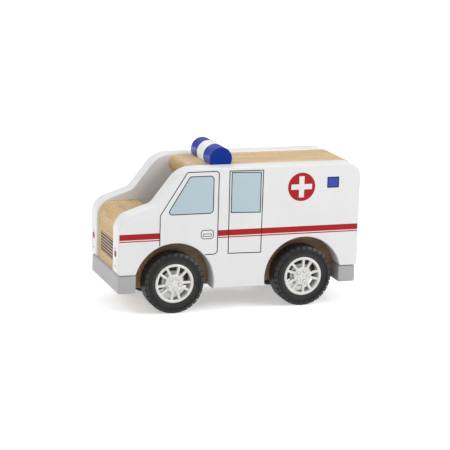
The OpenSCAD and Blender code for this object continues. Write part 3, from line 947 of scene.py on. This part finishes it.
# the slide door is drawn a little out of square, as by hand
slide_door = [(7.98, 34.45, 0), (8.15, 84.0, 0), (-13.1, 83.8, 0), (-12.85, 34.05, 0)]
slide_window = [(6.75, 58.85, 0), (6.8, 83.1, 0), (-11.75, 82.65, 0), (-11.8, 58.25, 0)]
handle_plate = [(16.85, 43.9, 1.9), (24.75, 43.9, 1.9), (24.75, 49.45, 1.9), (16.85, 49.45, 1.9)]
handle_plate_line = 0.42
handle = [(18.2, 45.3, 0.5), (23.65, 45.3, 0.7), (23.65, 46.5, 0.4), (22.7, 47.15, 0.5), (18.2, 47.15, 0.5)]
handle_line = 0.36

# Blue square near the rear of a panel, and the line round it
square_front_x = -53.4
square_rear_x = -60.4
square_low = 71.6
square_high = 77.7
square_line = 0.6
square_line_spread = 0.25

for side_name, face in (("left", LEFT), ("right", RIGHT)):
    reds = []
    for low, high in stripe_heights:
        reds.append(print_bar(face, stripe_front_x, door_front_x, low, high, fill_ink_depth))
        reds.append(print_bar(face, door_rear_x, stripe_rear_x, low, high, fill_ink_depth))
    reds.append(print_disc(face, disc_x, disc_z, disc_radius, fill_ink_depth))
    settle(join(f"{side_name}_red_print", reds), "body", red_ink, "white_paint")

    windows = [
        print_shape(face, cab_window, fill_ink_depth),
        print_shape(face, slide_window, fill_ink_depth),
    ]
    settle(join(f"{side_name}_window_print", windows), "body", glass_blue_ink, "white_paint")

    # the cab door's line stops at the rounded edge of the front arch
    door_line = print_shape(face, cab_door, line_ink_depth, line_width)
    side = face[0].y
    cut_away(door_line, start_rod(
        "arch_cutter", front_arch_x, front_axle.z, side * (panel_face_y - cutter_reach),
        side * (panel_face_y + cutter_reach), arch_radius + panel_edge_radius, arch_sides))
    lines = [
        door_line,
        print_shape(face, cab_window, line_ink_depth, line_width),
        print_shape(face, slide_door, line_ink_depth, line_width),
        print_shape(face, slide_window, line_ink_depth, line_width),
        print_shape(face, handle_plate, line_ink_depth, handle_plate_line),
        print_shape(face, handle, line_ink_depth, handle_line),
        print_bar(
            face, square_front_x + square_line_spread, square_rear_x - square_line_spread,
            square_low - square_line_spread, square_high + square_line_spread, line_ink_depth, square_line),
    ]
    settle(join(f"{side_name}_line_print", lines), "body", line_ink, "white_paint")

    square = print_bar(face, square_front_x, square_rear_x, square_low, square_high, fill_ink_depth)
    square.name = f"{side_name}_square_print"
    settle(square, "body", blue_ink, "white_paint")

    upright_arm = print_bar(
        face, disc_x + cross_arm_width / 2, disc_x - cross_arm_width / 2,
        disc_z - cross_height / 2, disc_z + cross_height / 2, line_ink_depth)
    level_arm = print_bar(
        face, disc_x + cross_length / 2, disc_x - cross_length / 2,
        disc_z - cross_arm_width / 2, disc_z + cross_arm_width / 2, line_ink_depth - cross_arm_step)
    cross = join(f"{side_name}_cross_print", [upright_arm, level_arm])
    settle(cross, "body", white_ink, "white_paint")

# Grille on the nose block: six bars in a thin frame
grille_bar_count = 6
grille_bar_half_length = 13.0
grille_bar_half_height = 0.56
grille_top_bar = 40.7
grille_step = 1.83
grille_frame_half_width = 13.1
grille_frame_low = 30.15
grille_frame_high = 42.4
grille_frame_line = 0.35
grille_parts = []
for bar_number in range(grille_bar_count):
    height = grille_top_bar - bar_number * grille_step
    grille_parts.append(print_bar(
        NOSE, -grille_bar_half_length, grille_bar_half_length, height - grille_bar_half_height,
        height + grille_bar_half_height, line_ink_depth))
grille_parts.append(print_bar(
    NOSE, -grille_frame_half_width, grille_frame_half_width, grille_frame_low, grille_frame_high,
    line_ink_depth, grille_frame_line))
settle(join("grille_print", grille_parts), "body", grille_ink, "beech_cross_grain")

# Lamps on the panels' front edges: a red disc between two short lines
lamp_y = 24.1
lamp_z = 36.6
lamp_radius = 2.1
lamp_line_places = (39.7, 29.1)
lamp_line_half_length = 1.6
lamp_line_height = 0.3
lamps = [print_disc(PANEL_ENDS, side * lamp_y, lamp_z, lamp_radius, fill_ink_depth) for side in (1, -1)]
settle(join("lamp_print", lamps), "body", red_ink, "white_paint")
lamp_lines = []
for side in (1, -1):
    for height in lamp_line_places:
        lamp_lines.append(print_bar(
            PANEL_ENDS, side * lamp_y - lamp_line_half_length, side * lamp_y + lamp_line_half_length,
            height, height + lamp_line_height, fill_ink_depth))
settle(join("lamp_line_print", lamp_lines), "body", line_ink, "white_paint")

# Floor, in metres. The camera and the gloss see paper that is lifted to white away from the toy
floor_size = 8
floor_colour = "E0E0E0"
floor_seen_colour = "ECECEC"
lift_from = 0.3
lift_to = 1.2
lift_near = 0.44
lift_far = 1.0
deselect_all()
bpy.ops.mesh.primitive_plane_add(size=floor_size, location=(0, 0, 0))
floor = bpy.context.object
floor.name = "studio_floor"
floor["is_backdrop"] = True
floor_material = bpy.data.materials.new("matt_white_backdrop_paper")
floor_material.use_nodes = True
tree = floor_material.node_tree
tree.nodes.clear()
path = node(tree, "ShaderNodeLightPath", {}, {})
seen = node(
    tree, "ShaderNodeMath", {"operation": "MAXIMUM"},
    {0: path.outputs["Is Camera Ray"], 1: path.outputs["Is Glossy Ray"]})
paper = node(
    tree, "ShaderNodeMix", {"data_type": "RGBA"},
    {0: seen.outputs[0], 6: colour(floor_colour), 7: colour(floor_seen_colour)})
matt = node(tree, "ShaderNodeBsdfDiffuse", {}, {"Color": paper.outputs[2]})
spot = node(tree, "ShaderNodeTexCoord", {}, {})
away = node(tree, "ShaderNodeVectorMath", {"operation": "LENGTH"}, {0: spot.outputs["Object"]})
rise = node(
    tree, "ShaderNodeMapRange", {},
    {"Value": away.outputs["Value"], "From Min": lift_from, "From Max": lift_to,
     "To Min": lift_near, "To Max": lift_far})
lift = node(tree, "ShaderNodeMath", {"operation": "MULTIPLY"}, {0: seen.outputs[0], 1: rise.outputs[0]})
glow = node(tree, "ShaderNodeEmission", {}, {"Color": (1, 1, 1, 1), "Strength": lift.outputs[0]})
both = node(tree, "ShaderNodeAddShader", {}, {0: matt.outputs[0], 1: glow.outputs[0]})
node(tree, "ShaderNodeOutputMaterial", {}, {"Surface": both.outputs[0]})
floor.data.materials.append(floor_material)

# Studio round the toy: white to the camera, and dim as light on the toy and in its gloss
world_level = 0.25
world_seen_level = 1.0
world = bpy.data.worlds.new("studio")
bpy.context.scene.world = world
world.use_nodes = True
tree = world.node_tree
tree.nodes.clear()
path = node(tree, "ShaderNodeLightPath", {}, {})
seen = node(
    tree, "ShaderNodeMath", {"operation": "MAXIMUM"},
    {0: path.outputs["Is Camera Ray"], 1: path.outputs["Is Transmission Ray"]})
level = node(
    tree, "ShaderNodeMapRange", {},
    {"Value": seen.outputs[0], "From Min": 0.0, "From Max": 1.0,
     "To Min": world_level, "To Max": world_seen_level})
sky = node(tree, "ShaderNodeBackground", {}, {"Color": (1, 1, 1, 1), "Strength": level.outputs[0]})
node(tree, "ShaderNodeOutputWorld", {}, {"Surface": sky.outputs[0]})


# Lamps, in metres and watts
soft_box_size = 1.0
lamp_aim = Vector((0, 0, 0.04))


def soft_box(name, place, power):
    """A square studio lamp that looks at the toy."""
    bpy.ops.object.light_add(type="AREA", location=place)
    lamp = bpy.context.object
    lamp.name = name
    lamp.data.shape = "SQUARE"
    lamp.data.size = soft_box_size
    lamp.data.energy = power
    aim = lamp_aim - Vector(place)
    lamp.rotation_euler = aim.to_track_quat("-Z", "Y").to_euler()


soft_box("key_box", (-1.2, 0.7, 0.9), 19.2)
soft_box("nose_box", (1.2, 0.0, 1.0), 10.4)
soft_box("back_box", (0, -0.9, 1.2), 6.2)
soft_box("fill_box", (0.75, 1.2, 0.85), 3.3)

# Camera of the photograph, from its place in metres and its own right, up and back ways
camera_place = Vector((0.35376, 1.01675, 0.29039))
camera_right = Vector((-0.94606, 0.32286, 0.02747))
camera_up = Vector((-0.04658, -0.21941, 0.97454))
camera_back = camera_right.cross(camera_up)
bpy.ops.object.camera_add()
camera = bpy.context.object
camera.name = "photo_camera"
turn = Matrix((camera_right, camera_up, camera_back)).transposed().to_4x4()
camera.matrix_world = Matrix.Translation(camera_place) @ turn
camera.data.sensor_width = 36
camera.data.lens = 147.122
camera.data.clip_start = 0.05
camera.data.clip_end = 50
bpy.context.scene.camera = camera
bpy.context.scene.view_settings.view_transform = "Standard"

# Size of the dressed toy: the box round all that is shown, without the floor
low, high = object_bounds()
